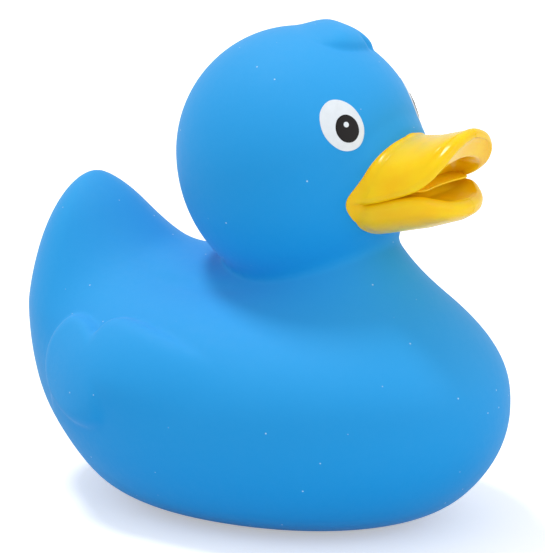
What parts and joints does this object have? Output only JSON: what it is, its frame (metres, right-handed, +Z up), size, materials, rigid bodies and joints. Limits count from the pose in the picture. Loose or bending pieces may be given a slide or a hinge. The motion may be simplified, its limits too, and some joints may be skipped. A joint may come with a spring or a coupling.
{
  "type": "rubber duck",
  "caption": "Hollow vinyl bath duck with an upturned tail, feathered wings, a lock on the crown, a flared bill with parted halves, and a flat base with a squeaker disc in it.",
  "frame": {"origin": "middle of the base: middle of the duck's length and width, at the level it stands on", "axes": "+X forwards (the way the bill points), +Y to the duck's left, +Z up; the duck mirrors about the XZ plane"},
  "size_m": [0.0784, 0.0558, 0.0739],
  "materials": {
    "blue_vinyl": "soft satin vinyl with a pale haze at grazing angles",
    "yellow_paint": "glossy paint over the bill",
    "white_paint": "thin semi-gloss paint, whites of the eyes",
    "black_paint": "thin semi-gloss paint, pupils",
    "white_plastic": "moulded, satin"
  },
  "bodies": {
    "root": {"duck_body": "blue_vinyl", "squeaker": "white_plastic"}
  },
  "joints": []
}
